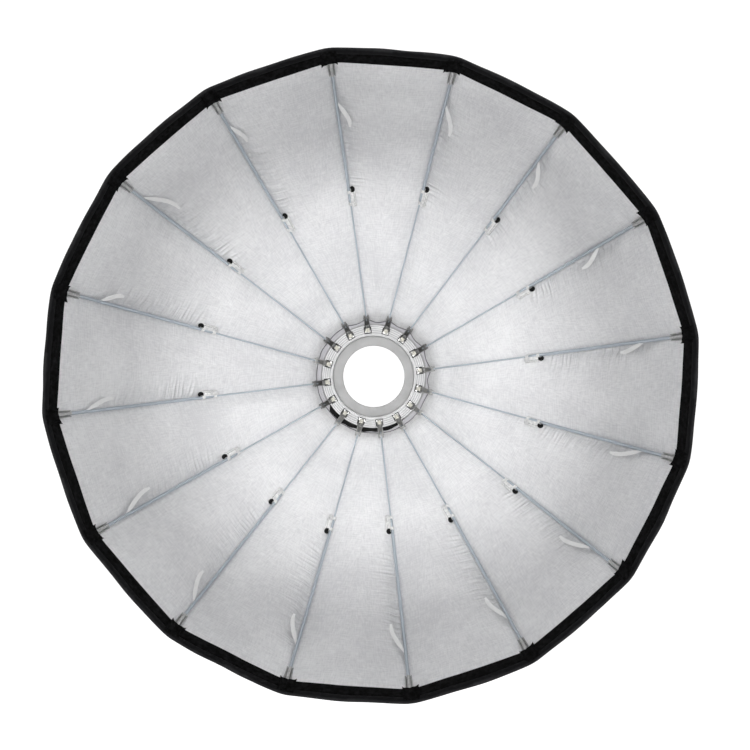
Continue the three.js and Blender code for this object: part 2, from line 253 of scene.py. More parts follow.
def cloth_point(rib, across, r, lift=0.0):
    """A point of the cloth's inner face, across from -0.5 to 0.5 between the two mid-panels."""
    panel = rib if across >= 0 else (rib - 1) % RIB_COUNT
    q = across if across >= 0 else 1 + across
    stand = CLOTH_STAND_OFF + lift - cloth_relief(panel, q, r)
    normal = rib_normal(r)
    corner_r = r + normal.x * stand
    y = rib_height(r) + normal.y * stand
    side = math.copysign(1, across)
    to_middle = 2 * abs(across)
    middle_r = corner_r * math.cos(HALF_PANEL)
    rounding = 0.05 * smooth(0.428, 0.444, r)
    from_corner = math.hypot(to_middle, rounding) / math.hypot(1, rounding)
    x = corner_r + (middle_r * math.cos(HALF_PANEL) - corner_r) * from_corner
    z = side * to_middle * middle_r * math.sin(HALF_PANEL)
    sag = SIZES.panel_sag * corner_r * to_middle * (2 - to_middle)
    sag *= 1 - smooth(0.34, 0.43, r)
    rim_wave = 0.0022 * noise.noise(Vector((panel * 3.7, q * 3, 5))) + 0.0030
    sag -= rim_wave * smooth(0.425, 0.447, r) * to_middle * (2 - to_middle)
    x -= sag * math.cos(HALF_PANEL)
    z -= side * sag * math.sin(HALF_PANEL) * to_middle
    return turned(rib_angle(rib), x, y, z)


def new_piece(name, bm, materials, sharp_deg=40):
    """Makes the mesh an object, smooth but for its sharp edges."""
    bm.normal_update()
    for face in bm.faces:
        face.smooth = True
    for edge in bm.edges:
        edge.smooth = len(edge.link_faces) == 2 and edge.calc_face_angle(0) < math.radians(sharp_deg)
    mesh = bpy.data.meshes.new(name)
    bm.to_mesh(mesh)
    bm.free()
    for material in materials:
        mesh.materials.append(material)
    piece = bpy.data.objects.new(name, mesh)
    bpy.context.scene.collection.objects.link(piece)
    return piece


def grid(columns, rows):
    """A flat grid whose vertices run from 0 to 1 both ways, with a UV map ready to fill."""
    bm = bmesh.new()
    bmesh.ops.create_grid(bm, x_segments=columns, y_segments=rows, size=0.5)
    bmesh.ops.translate(bm, verts=bm.verts[:], vec=(0.5, 0.5, 0))
    bm.loops.layers.uv.new("Cloth")
    return bm


def set_uv(bm, place):
    """Fills the UV map from each vertex's grid place, before the vertices move."""
    layer = bm.loops.layers.uv.verify()
    for face in bm.faces:
        for loop in face.loops:
            loop[layer].uv = place(loop.vert.co.x, loop.vert.co.y)


def thin_ended(low, high, steps, thin=0.06):
    """Even steps from low to high, with the first and last ones thin, so that joins don't show."""
    inner = [low + (high - low) * (i / steps) for i in range(1, steps)]
    step = (high - low) / steps
    return [low, low + thin * step, *inner[1:-1], high - thin * step, high]


def thicken(bm, thickness, back_material):
    """Gives a sheet its thickness on its outer side. The back and the edges take another material."""
    bm.normal_update()
    front = bm.faces[:]
    made = bmesh.ops.extrude_face_region(bm, geom=front, use_keep_orig=True)
    back_verts = [v for v in made["geom"] if isinstance(v, bmesh.types.BMVert)]
    normals = {v: v.normal.copy() for v in back_verts}
    for v in back_verts:
        v.co += normals[v] * thickness
    front_set = set(front)
    for face in bm.faces:
        if face not in front_set:
            face.material_index = back_material
    bmesh.ops.recalc_face_normals(bm, faces=bm.faces[:])


def pipe(sides, rings, closed_ends=True, inside_from=None):
    """A tube through rings of points. place(ring, turn) gives a point for a turn from 0 to 1.

    The faces from the ring inside_from on take the second material."""
    count, place = rings
    bm = grid(sides, count)
    set_uv(bm, lambda x, y: (x, y))
    if inside_from is not None:
        for face in bm.faces:
            face.material_index = int(face.calc_center_median().y * count) >= inside_from
    for vertex in bm.verts:
        vertex.co = place(round(vertex.co.y * count), vertex.co.x % 1.0)
    bmesh.ops.remove_doubles(bm, verts=bm.verts[:], dist=1e-6)
    if closed_ends:
        caps = bmesh.ops.holes_fill(bm, edges=[e for e in bm.edges if e.is_boundary])["faces"]
        last = place(count, 0)
        for cap in caps:
            if inside_from is not None and min((v.co - last).length for v in cap.verts) < 1e-5:
                cap.material_index = 1
    bmesh.ops.recalc_face_normals(bm, faces=bm.faces[:])
    return bm


def rib_bar(rib, stations, sides=12):
    """A round bar on the rib's centre line. Each station is (distance from the axis, radius)."""
    def place(ring, turn):
        r, radius = stations[ring]
        angle = 2 * math.pi * turn
        return on_rib(rib, r, radius * math.cos(angle), radius * math.sin(angle))
    return pipe(sides, (len(stations) - 1, place))


def even(low, high, count, radius):
    return [(low + (high - low) * i / (count - 1), radius) for i in range(count)]


def spun(outline, steps=192, groove_y=None):
    """A ring turned round the optical axis from a closed outline of (radius, height) corners.

    Faces on the front that lie behind the height groove_y are grooves, and take the second material."""
    bm = bmesh.new()
    verts = [bm.verts.new((r, y, 0)) for r, y in outline]
    edges = [bm.edges.new((verts[i - 1], verts[i])) for i in range(len(verts))]
    bmesh.ops.spin(bm, geom=verts + edges, cent=(0, 0, 0), axis=(0, 1, 0), angle=2 * math.pi,
                   steps=steps, use_merge=True)
    bmesh.ops.remove_doubles(bm, verts=bm.verts[:], dist=1e-6)
    bmesh.ops.recalc_face_normals(bm, faces=bm.faces[:])
    if groove_y is not None:
        bm.normal_update()
        for face in bm.faces:
            face.material_index = int(groove_y < face.calc_center_median().y < groove_y + 0.001)
    return bm


def block(low, high, bevel=0.0, segments=2):
    """A box between two corners, with rounded edges."""
    bm = bmesh.new()
    bmesh.ops.create_cube(bm, size=1)
    middle, size = (Vector(low) + Vector(high)) / 2, Vector(high) - Vector(low)
    bmesh.ops.scale(bm, vec=size, verts=bm.verts[:])
    bmesh.ops.translate(bm, vec=middle, verts=bm.verts[:])
    if bevel:
        bmesh.ops.bevel(bm, geom=bm.edges[:], offset=bevel, segments=segments, profile=0.5,
                        affect="EDGES", material=-1)
    return bm


def merged(*parts):
    """Several bmeshes in one."""
    whole = bmesh.new()
    for part in parts:
        mesh = bpy.data.meshes.new("part")
        part.to_mesh(mesh)
        part.free()
        whole.from_mesh(mesh)
        bpy.data.meshes.remove(mesh)
    return whole


def rib_frame(rib):
    """From a rib's own frame (outward along the arm, rearward, anticlockwise) to the row frame."""
    angle = rib_angle(rib)
    slope = math.atan(ROOT_SLOPE)
    outward = turned(angle, math.cos(slope), -math.sin(slope), 0)
    rearward = turned(angle, math.sin(slope), math.cos(slope), 0)
    matrix = Matrix((outward, rearward, outward.cross(rearward))).transposed().to_4x4()
    return Matrix.Translation(turned(angle, PIVOT_R, PIVOT_Y, 0)) @ matrix


def hub_frame(rib):
    """From (outward, rearward, anticlockwise) at the hub's middle to the row frame."""
    angle = rib_angle(rib)
    columns = (turned(angle, 1, 0, 0), Vector((0, 1, 0)), turned(angle, 0, 0, 1))
    return Matrix(columns).transposed().to_4x4()


# ---------------------------------------------------------------- finishes


class Finish:
    """A material under construction, with short calls for its nodes."""

    def __init__(self, name, **shader):
        self.material = bpy.data.materials.new(name)
        self.material.use_nodes = True
        self.tree = self.material.node_tree
        self.shader = self.tree.nodes["Principled BSDF"]
        for socket, value in shader.items():
            self.shader.inputs[socket.replace("_", " ")].default_value = value

    def node(self, kind, inputs=None, **settings):
        node = self.tree.nodes.new(kind)
        for key, value in settings.items():
            setattr(node, key, value)
        for socket, value in (inputs or {}).items():
            if isinstance(value, bpy.types.NodeSocket):
                self.tree.links.new(value, node.inputs[socket])
            else:
                node.inputs[socket].default_value = value
        return node

    def coordinates(self, kind="Object", scale=(1, 1, 1), rotation=(0, 0, 0)):
        source = self.node("ShaderNodeTexCoord")
        mapping = self.node("ShaderNodeMapping", {"Vector": source.outputs[kind], "Scale": scale,
                                                  "Rotation": rotation})
        return mapping.outputs["Vector"]

    def noise(self, vector, scale, detail=3, roughness=0.5):
        inputs = {"Vector": vector, "Scale": scale, "Detail": detail, "Roughness": roughness}
        return self.node("ShaderNodeTexNoise", inputs).outputs["Fac"]

    def wave(self, vector, scale, direction="X", distortion=0.0):
        inputs = {"Vector": vector, "Scale": scale, "Distortion": distortion, "Detail": 1.0}
        return self.node("ShaderNodeTexWave", inputs, bands_direction=direction).outputs["Fac"]

    def math(self, operation, *values):
        node = self.node("ShaderNodeMath", operation=operation)
        for socket, value in zip(node.inputs, values):
            if isinstance(value, bpy.types.NodeSocket):
                self.tree.links.new(value, socket)
            else:
                socket.default_value = value
        return node.outputs["Value"]

    def remap(self, value, low, high, from_low=0.0, from_high=1.0):
        inputs = {"Value": value, "From Min": from_low, "From Max": from_high, "To Min": low, "To Max": high}
        return self.node("ShaderNodeMapRange", inputs).outputs["Result"]

    def ramp(self, value, dark, light, low=0.3, high=0.7):
        node = self.node("ShaderNodeValToRGB", {"Fac": value})
        node.color_ramp.elements[0].position = low
        node.color_ramp.elements[1].position = high
        node.color_ramp.elements[0].color = (*dark, 1)
        node.color_ramp.elements[1].color = (*light, 1)
        return node.outputs["Color"]

    def bump(self, height, strength, distance, under=None):
        inputs = {"Height": height, "Strength": strength, "Distance": distance}
        if under is not None:
            inputs["Normal"] = under
        return self.node("ShaderNodeBump", inputs).outputs["Normal"]

    def set(self, socket, value):
        self.tree.links.new(value, self.shader.inputs[socket])


def shade(colour, factor):
    return tuple(min(1.0, c * factor) for c in colour[:3])


def weave(finish, pitch, strength, distance, under=None):
    """An over-and-under plain weave of the given pitch, in the cloth's own UV map, in metres."""
    uv = finish.coordinates("UV")
    scale = 1 / (pitch * 20) * math.pi
    warp = finish.wave(uv, scale, "X")
    weft = finish.wave(uv, scale, "Y")
    checker = finish.node("ShaderNodeTexChecker", {"Vector": uv, "Scale": 1 / pitch}).outputs["Fac"]
    over = finish.math("MULTIPLY", warp, checker)
    under_thread = finish.math("MULTIPLY", weft, finish.math("SUBTRACT", 1.0, checker))
    return finish.bump(finish.math("ADD", over, under_thread), strength, distance, under)


def silver_cloth():
    """Silver-coated cloth: a soft sheen over a plain weave, with slubs and puckers beside the seams."""
    finish = Finish("silver_cloth", Metallic=0.45)
    uv = finish.coordinates("UV")
    weft_slubs = finish.noise(finish.coordinates("UV", scale=(70, 430, 1)), 1.0, 2, 0.6)
    warp_slubs = finish.noise(finish.coordinates("UV", scale=(430, 70, 1)), 1.0, 2, 0.6)
    threads = finish.math("MULTIPLY", finish.math("ADD", weft_slubs, warp_slubs), 0.5)
    cloud = finish.noise(finish.coordinates("Object", scale=(7, 7, 7)), 1.0, 3, 0.55)
    tone = finish.math("ADD", finish.math("MULTIPLY", threads, 0.6), finish.math("MULTIPLY", cloud, 0.4))
    dark = (COLOURS.silver[0] * 0.82, COLOURS.silver[1] * 0.82, COLOURS.silver[2] * 0.83)
    coating = finish.ramp(tone, dark, shade(COLOURS.silver, 1.06), 0.40, 0.62)
    split = finish.node("ShaderNodeSeparateXYZ", {"Vector": uv})
    # Lightened towards the neck and the rim. It is a fitted tone, not a known property of the cloth.
    # Painted light: this factor lightens the coating's colour towards the neck and the rim, standing in for
    # light that the lamps don't bring there.
    at_neck = finish.remap(split.outputs["Y"], 1.18, 1.0, 0.0, 0.055)
    at_rim = finish.remap(split.outputs["Y"], 1.0, 1.17, along_rib(ROOT_R, 0.36), along_rib(ROOT_R, 0.43))
    painted_light_lift = finish.math("MULTIPLY", at_neck, at_rim)
    scaled = finish.node("ShaderNodeVectorMath", {0: coating, "Scale": painted_light_lift}, operation="SCALE")
    finish.set("Base Color", scaled.outputs["Vector"])
    marks = finish.noise(uv, 38, 4, 0.6)
    finish.set("Roughness", finish.remap(marks, 0.40, 0.50, 0.3, 0.7))
    near_seam = finish.remap(split.outputs["X"], 0.0, 1.0, -0.045, -0.012)
    not_past = finish.remap(split.outputs["X"], 1.0, 0.0, -0.004, 0.0)
    rises = finish.remap(split.outputs["Y"], 0.0, 1.0, along_rib(ROOT_R, 0.22), along_rib(ROOT_R, 0.31))
    falls = finish.remap(split.outputs["Y"], 1.0, 0.0, along_rib(ROOT_R, 0.385), along_rib(ROOT_R, 0.41))
    where = finish.math("MULTIPLY", finish.math("MULTIPLY", near_seam, not_past),
                        finish.math("MULTIPLY", rises, falls))
    gathers = finish.noise(finish.coordinates("UV", scale=(26, 170, 1)), 1.0, 1, 0.5)
    puckers = finish.bump(finish.math("MULTIPLY", gathers, where), 1.0, 0.0035)
    slub_bump = finish.bump(threads, 0.5, 0.0009, puckers)
    finish.set("Normal", weave(finish, 0.0016, 0.28, 0.0002, slub_bump))
    return finish.material


def black_cloth():
    """Black coated nylon: a fine weave with a low dusty sheen."""
    finish = Finish("black_cloth", Sheen_Weight=0.25, Sheen_Roughness=0.4, Specular_IOR_Level=0.35)
    dust = finish.noise(finish.coordinates("Object", scale=(14, 14, 14)), 1.0, 4, 0.6)
    finish.set("Base Color", finish.ramp(dust, COLOURS.black[:3], shade(COLOURS.black, 2.0), 0.45, 0.8))
    finish.set("Roughness", finish.remap(dust, 0.55, 0.75))
    finish.set("Normal", weave(finish, 0.0012, 0.45, 0.0002))
    return finish.material


def loop_tape():
    """The fuzzy loop side of hook-and-loop tape."""
    finish = Finish("loop_tape", Roughness=1.0, Specular_IOR_Level=0.05)
    fuzz = finish.noise(finish.coordinates(), 1400, 3, 0.7)
    tufts = finish.noise(finish.coordinates(), 160, 3, 0.6)
    finish.set("Base Color", finish.ramp(tufts, (0.004, 0.004, 0.004), (0.016, 0.016, 0.017), 0.4, 0.75))
    finish.set("Normal", finish.bump(fuzz, 0.7, 0.0006, finish.bump(tufts, 0.4, 0.0012)))
    return finish.material


def hem_binding():
    """Woven edge binding, a little lighter than the tape, with a row of stitches."""
    finish = Finish("hem_binding", Roughness=0.8, Specular_IOR_Level=0.12)
    uv = finish.coordinates("UV")
    ribs = finish.wave(uv, 52, "X")
    worn = finish.noise(finish.coordinates(), 60, 4, 0.6)
    lines = finish.wave(uv, 7, "Y", 1.5)
    tone = finish.math("ADD", finish.math("MULTIPLY", worn, 0.5), finish.math("MULTIPLY", lines, 0.5))
    finish.set("Base Color", finish.ramp(tone, (0.008, 0.008, 0.009), (0.052, 0.052, 0.055), 0.35, 0.80))
    finish.set("Normal", finish.bump(ribs, 0.35, 0.0003, finish.bump(worn, 0.25, 0.0012)))
    return finish.material


def white_webbing():
    """White woven tape, ribbed across."""
    finish = Finish("white_webbing", Roughness=0.8, Sheen_Weight=1.0, Sheen_Roughness=0.4)
    uv = finish.coordinates("UV")
    tone = finish.noise(uv, 300, 3, 0.5)
    finish.set("Base Color", finish.ramp(tone, (0.93, 0.93, 0.93), (0.99, 0.99, 0.98)))
    finish.set("Normal", finish.bump(finish.wave(uv, 60, "Y"), 0.5, 0.0003))
    return finish.material


def rib_steel():
    """Blue-grey steel with fine lengthwise drawing marks."""
    finish = Finish("rib_steel", Metallic=0.9)
    uv = finish.coordinates("UV", scale=(40, 3, 1))
    drawn = finish.noise(uv, 1.0, 3, 0.6)
    finish.set("Base Color", finish.ramp(drawn, shade(COLOURS.steel, 0.75), shade(COLOURS.steel, 1.2)))
    finish.set("Roughness", finish.remap(drawn, 0.28, 0.5))
    finish.set("Normal", finish.bump(drawn, 0.12, 0.0002))
    return finish.material


def sheet_steel(name, light, rough, metallic=1.0):
    """Zinc-plated sheet steel, brushed, with darker handling marks."""
    finish = Finish(name, Metallic=metallic)
    brushed = finish.noise(finish.coordinates("Object", scale=(900, 900, 900)), 1.0, 2, 0.7)
    marks = finish.noise(finish.coordinates(), 220, 4, 0.6)
    dark, clean = shade((light,) * 3, 0.72), (light, light, light * 0.98)
    finish.set("Base Color", finish.ramp(marks, dark, clean, 0.35, 0.65))
    finish.set("Roughness", finish.remap(brushed, rough - 0.08, rough + 0.12))
    finish.set("Normal", finish.bump(brushed, 0.1, 0.0001))
    return finish.material


def turned_metal(name, colour, rough, pitch, metallic=1.0, lines=0.5):
    """Turned aluminium: fine rings round the optical axis over a faint grain."""
    finish = Finish(name, Metallic=metallic)
    source = finish.node("ShaderNodeTexCoord").outputs["Object"]
    split = finish.node("ShaderNodeSeparateXYZ", {"Vector": source})
    squares = finish.math("ADD", finish.math("POWER", split.outputs["X"], 2.0),
                          finish.math("POWER", split.outputs["Z"], 2.0))
    radius = finish.math("SQRT", squares)
    rings = finish.math("SINE", finish.math("MULTIPLY", radius, 2 * math.pi / pitch))
    grain = finish.noise(source, 900, 3, 0.6)
    cloud = finish.noise(source, 40, 3, 0.5)
    finish.set("Base Color", finish.ramp(cloud, shade(colour, 0.88), shade(colour, 1.04)))
    finish.set("Roughness", finish.remap(grain, rough - 0.06, rough + 0.08))
    finish.set("Normal", finish.bump(rings, lines, 0.0001, finish.bump(grain, 0.06, 0.0001)))
    return finish.material


def latch_plastic():
    """Cream moulded plastic with a fine spark texture and grubby edges."""
    finish = Finish("latch_plastic", Specular_IOR_Level=0.5)
    grit = finish.noise(finish.coordinates(), 2200, 2, 0.5)
    wear = finish.noise(finish.coordinates(), 300, 4, 0.6)
    finish.set("Base Color", finish.ramp(wear, shade(COLOURS.latch, 0.8), COLOURS.latch[:3], 0.3, 0.6))
    finish.set("Roughness", finish.remap(wear, 0.4, 0.6))
    finish.set("Normal", finish.bump(grit, 0.15, 0.0001))
    return finish.material


# ---------------------------------------------------------------- builders


def finished(piece, body, slot_name, *nodes):
    """Rides a piece on a body and hides the CAD nodes that it stands for. slot_name is not used."""
    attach(piece, body)
    if nodes:
        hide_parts(*nodes)
    return piece


def build_gore_band(rib, number, low, high, materials):
    """One length of a gore: silver inside and black outside."""
    rows = max(6, round(along_rib(low, high) / 0.0045))
    stations = thin_ended(low, high, rows)
    edges = thin_ended(-0.5, 0.5, SIZES.columns)
    bm = grid(SIZES.columns, rows)
    set_uv(bm, lambda x, y: (
        edges[round(x * SIZES.columns)] * 2 * stations[round(y * rows)] * math.sin(HALF_PANEL),
        along_rib(ROOT_R, stations[round(y * rows)])))
    for vertex in bm.verts:
        across, r = edges[round(vertex.co.x * SIZES.columns)], stations[round(vertex.co.y * rows)]
        vertex.co = cloth_point(rib, across, r)
    face_outwards(bm, rib)
    area = sum(face.calc_area() for face in bm.faces)
    thicken(bm, SIZES.cloth_thickness, 1)
    piece = new_piece(f"canopy_gore_{rib + 1:02d}_{number}", bm, materials)
    finished(piece, rib_name("rib_body", rib), "canopy_fabric")
    squash_gore(piece, rib, low, high)
    length = along_rib(low, high)
    return piece


def face_outwards(bm, rib):
    """Turns a sheet's faces to look away from the axis, so that its thickness goes outwards."""
    bm.normal_update()
    middle = bm.faces[:][len(bm.faces) // 2]
    outward = turned(rib_angle(rib), 1, 0, 0) + Vector((0, 1, 0))
    if middle.normal.dot(outward) < 0:
        bmesh.ops.reverse_faces(bm, faces=bm.faces[:])


def squash_gore(piece, rib, low, high):
    """Gives the piece a mesh of its own."""
    anchor = on_rib(rib, (low + high) / 2)
    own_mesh(piece)


def build_neck(rib, inner, materials):
    """The cloth between the hub and the first band."""
    columns = SIZES.columns
    edges = thin_ended(-0.5, 0.5, columns)
    places = [0.0, 0.045, *(0.1 + 0.09 * i for i in range(11))]
    rows = len(places) - 1
    first_band = BAND_ENDS[0]
    for name, lift, start, material in (
        ("neck_lining", 0.0, inner, materials[0]),
        ("neck_shell", 0.0012, lambda across: HEM_R - 0.0042, materials[1]),
    ):
        bm = grid(columns, rows)
        # The first row takes the third material, a grey painted shade along the cloth's inner edge.
        for face in bm.faces:
            face.material_index = int(face.calc_center_median().y * rows < 1)

        def r_at(x, y, start=start):
            low = start(edges[round(x * columns)])
            return low + (first_band - low) * places[round(y * rows)]

        set_uv(bm, lambda x, y: (edges[round(x * columns)] * 2 * r_at(x, y) * math.sin(HALF_PANEL),
                                 along_rib(ROOT_R, r_at(x, y))))
        for vertex in bm.verts:
            across, share = edges[round(vertex.co.x * columns)], places[round(vertex.co.y * rows)]
            r = r_at(vertex.co.x, vertex.co.y)
            vertex.co = cloth_point(rib, across, r, lift * (1 - share))
            if lift:
                vertex.co.y += 0.004 * (1 - share) ** 2
        face_outwards(bm, rib)
        area = sum(face.calc_area() for face in bm.faces)
        thicken(bm, SIZES.cloth_thickness * (0.5 if not lift else 0.8), 0)
        piece = new_piece(rib_name(name, rib), bm, [material, materials[2]])
        start_point = turned(rib_angle(rib), NECK_BEND_R, PIVOT_Y, 0)
        end_point = on_rib(rib, first_band - 0.002, CLOTH_STAND_OFF)
        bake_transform(piece)


def neck_edge(rib):
    """The ragged inner edge of the lining: it hooks behind each arm and bows between the arms."""
    def edge(across):
        panel = rib if across >= 0 else (rib - 1) % RIB_COUNT
        bow = 2 * abs(across)
        draw = random.Random(40 + panel)
        middle_angle = math.degrees(FIRST_ANGLE + RIB_STEP * (panel + 0.5)) % 360
        if 205 < middle_angle < 315:
            reach = draw.uniform(0.0005, 0.0025)
        elif 130 < middle_angle < 205:
            reach = draw.uniform(0.0015, 0.0035)
        else:
            reach = draw.uniform(-0.0035, 0.0005)
        return NECK_EDGE_R + reach * math.sin(bow * math.pi / 2) ** 2
    return edge


class SOFTBOX_OT_canopy(bpy.types.Operator):
    """Builds the sixteen gores in bands, with the neck cloth at the hub"""

    bl_idname = "softbox.canopy"
    bl_label = "Canopy"

    def execute(self, context):
        silver, black = silver_cloth(), black_cloth()
        # This grey is painted shade: it goes on the first row of the neck cloth, standing in for the shadow
        # gap between the collar and the lining's edge.
        binding = Finish("neck_edge_painted_shade", Base_Color=(0.16, 0.155, 0.17, 1), Roughness=0.8).material
        for rib in range(RIB_COUNT):
            build_neck(rib, neck_edge(rib), (silver, black, binding))
            low = BAND_ENDS[0]
            for number, high in enumerate(BAND_ENDS[1:], 1):
                piece = build_gore_band(rib, number, low, high, (silver, black))
                low = high
            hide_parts(rib_name("canopy_gore", rib))
        return {"FINISHED"}


# The rim band's section: (share of the band's width, lift outwards in metres, material).
BAND_SECTION = [
    (0.00, -0.0002, 0), (0.00, -0.0012, 0), (0.03, -0.0021, 0), (0.12, -0.0024, 0), (0.52, -0.0024, 0),
    (0.60, -0.0021, 0), (0.63, -0.0010, 1), (0.66, -0.0018, 1), (0.72, -0.0026, 1), (0.88, -0.0028, 1),
    (0.97, -0.0022, 1), (1.01, -0.0004, 1), (1.01, 0.0008, 1), (0.97, 0.0022, 1), (0.86, 0.0021, 1),
    (0.68, 0.0018, 1), (0.64, 0.0007, 1), (0.40, 0.0007, 1),
]


def build_rim_band(rib, materials):
    """The band on a gore's rim: loop tape inside, and a turned binding round the edge."""
    columns, count = SIZES.columns, len(BAND_SECTION)
    edges = thin_ended(-0.5, 0.5, columns)
    bm = grid(columns, count)
    set_uv(bm, lambda x, y: (edges[round(x * columns)] * 0.17, y * 0.1))

    def place(x, y):
        share, lift, _ = BAND_SECTION[round(y * count) % count]
        across = edges[round(x * columns)]
        r = BAND_R + (RIM_R + 0.0006 - BAND_R) * share
        puff = 1 + 0.25 * noise.noise(Vector((rib * 4 + across * 4, share * 2, 8)))
        return cloth_point(rib, across, min(r, RIM_R + 0.001), lift * puff)

    for face in bm.faces:
        row = int(face.calc_center_median().y * count)
        face.material_index = BAND_SECTION[row % count][2]
    for vertex in bm.verts:
        vertex.co = place(vertex.co.x, vertex.co.y)
    bmesh.ops.remove_doubles(bm, verts=bm.verts[:], dist=1e-6)
    bmesh.ops.holes_fill(bm, edges=[e for e in bm.edges if e.is_boundary])
    bmesh.ops.recalc_face_normals(bm, faces=bm.faces[:])
    piece = new_piece(rib_name("rim_band", rib), bm, materials, 50)
    finished(piece, rib_name("rib_body", rib), "black_fabric")
    squash_gore(piece, rib, BAND_R, RIM_R)


def build_pocket(rib, material):
    """The patch on a corner that holds the rib's tip."""
    columns, rows = 16, 22
    half = SIZES.pocket_width / 2
    low, high = 0.4328, RIM_R - 0.0006
    draw = random.Random(rib)
    skew = draw.uniform(-0.0012, 0.0012)
    bm = grid(columns, rows)
    set_uv(bm, lambda x, y: (x * SIZES.pocket_width, y * 0.06))
    for vertex in bm.verts:
        x, y = vertex.co.x * 2 - 1, vertex.co.y
        tunnel = 1 - smooth(0.0064, 0.0100, abs(x) * half)
        mouth = 1 - smooth(0.35, 0.90, y)
        raw_corner = 0.0010 * smooth(0.80, 1.0, abs(x))
        r = low + (high - low) * y + (1 - y) * (skew * x - raw_corner + 0.0040 * tunnel)
        across = (x * half + 0.0016) / (2 * r * math.sin(HALF_PANEL))
        lift = -0.0030 - 0.0066 * mouth * tunnel - 0.0003 * math.sin(x * 9 + rib)
        vertex.co = cloth_point(rib, across, r, lift)
    face_outwards(bm, rib)
    thicken(bm, 0.0008, 0)
    piece = new_piece(rib_name("corner_pocket", rib), bm, [material])
    finished(piece, rib_name("rib_body", rib), "black_fabric")


def build_seam_tape(rib, material):
    """The bound seam on the outside of the cloth, along a rib."""
    rows, columns = 72, 6
    bm = grid(columns, rows)
    set_uv(bm, lambda x, y: (x * 0.012, y * 0.62))
    for vertex in bm.verts:
        x, y = vertex.co.x * 2 - 1, vertex.co.y
        r = 0.1005 + (RIM_R - 0.002 - 0.1005) * y
        across = x * 0.0055 / (2 * r * math.sin(HALF_PANEL))
        pucker = 0.0002 * math.sin(y * 620)
        lift = SIZES.cloth_thickness + 0.0003 + (0.0016 + pucker) * (1 - x * x)
        vertex.co = cloth_point(rib, across, r, lift)
    face_outwards(bm, rib)
    thicken(bm, 0.0004, 0)
    piece = new_piece(rib_name("seam_tape", rib), bm, [material])
    finished(piece, rib_name("rib_body", rib), "black_fabric")


class SOFTBOX_OT_rim(bpy.types.Operator):
    """Builds the rim bands, corner pockets and seam tapes"""

    bl_idname = "softbox.rim"
    bl_label = "Rim and seams"

    def execute(self, context):
        tape, binding = loop_tape(), hem_binding()
        for rib in range(RIB_COUNT):
            build_rim_band(rib, (tape, binding))
            build_pocket(rib, tape)
            build_seam_tape(rib, binding)
        return {"FINISHED"}


def build_arm(rib, material):
    """The folding arm: a steel channel, open to the front, with round ears at its pin and a crimped end."""
    half, wall, height = 0.0042, 0.0012, 0.0035
    length = (ARM_END_R - PIVOT_R) * math.hypot(1, ROOT_SLOPE)
    parts = []
    for side in (-1, 1):
        ear = bmesh.new()
        corners = [(length, height * 0.8), (length - 0.002, height), (0, 0.0044)]
        corners += [(0.0044 * math.cos(a), 0.0044 * math.sin(a))
                    for a in (math.pi / 2 + math.pi * i / 10 for i in range(1, 10))]
        corners += [(0, -0.0044), (0.004, -height), (length - 0.009, -height),
                    (length - 0.005, -height * 0.55), (length, -height * 0.55)]
        verts = [ear.verts.new((x, y, 0)) for x, y in corners]
        face = ear.faces.new(verts)
        made = bmesh.ops.extrude_face_region(ear, geom=[face], use_keep_orig=True)
        moved = [v for v in made["geom"] if isinstance(v, bmesh.types.BMVert)]
        bmesh.ops.translate(ear, vec=(0, 0, wall), verts=moved)
        bmesh.ops.recalc_face_normals(ear, faces=ear.faces[:])
        offset = half - wall if side > 0 else -half
        bmesh.ops.translate(ear, vec=(0, 0, offset), verts=ear.verts[:])
        rim = [e for e in ear.edges if e.calc_face_angle(0) > 1.2]
        bmesh.ops.bevel(ear, geom=rim, offset=0.0003, segments=2, profile=0.5, affect="EDGES", material=-1)
        parts.append(ear)
    parts.append(block((0.003, height - wall, -half + 0.0004),
                       (length - 0.0004, height, half - 0.0004), 0.0003))
    parts.append(block((length - 0.0060, -0.0012, -half + 0.0012),
                       (length - 0.0006, height - 0.0004, half - 0.0012), 0.0005, 3))
    for x in (0.0, length - 0.0045):
        for side in (-1, 1):
            rivet = bmesh.new()
            bmesh.ops.create_cone(rivet, cap_ends=True, segments=16,
                                  radius1=0.0019, radius2=0.0013, depth=0.0007)
            if side < 0:
                bmesh.ops.rotate(rivet, matrix=Matrix.Rotation(math.pi, 3, "X"), verts=rivet.verts[:])
            bmesh.ops.translate(rivet, vec=(x, 0, side * (half + 0.0003)), verts=rivet.verts[:])
            parts.append(rivet)
    bm = merged(*parts)
    bmesh.ops.transform(bm, matrix=rib_frame(rib), verts=bm.verts[:])
    piece = new_piece(rib_name("rib_arm", rib), bm, [material], 35)
    finished(piece, rib_name("rib_body", rib), "rib_steel", rib_name("rib", rib))


def build_rods(rib, material):
    """The thin root rod and the thicker outer tube."""
    root = rib_bar(rib, even(0.0905, SLEEVE_PLACES[rib] + 0.006, 30, SIZES.rod_radius))
    start = SLEEVE_PLACES[rib] - 0.006
    stations = [(start - 0.0006, SIZES.tube_radius * 0.8)]
    stations += even(start, TIP_R - 0.002, 34, SIZES.tube_radius)
    piece = new_piece(rib_name("rib_rods", rib), merged(root, rib_bar(rib, stations, 14)), [material])
    finished(piece, rib_name("rib_body", rib), "rib_steel")


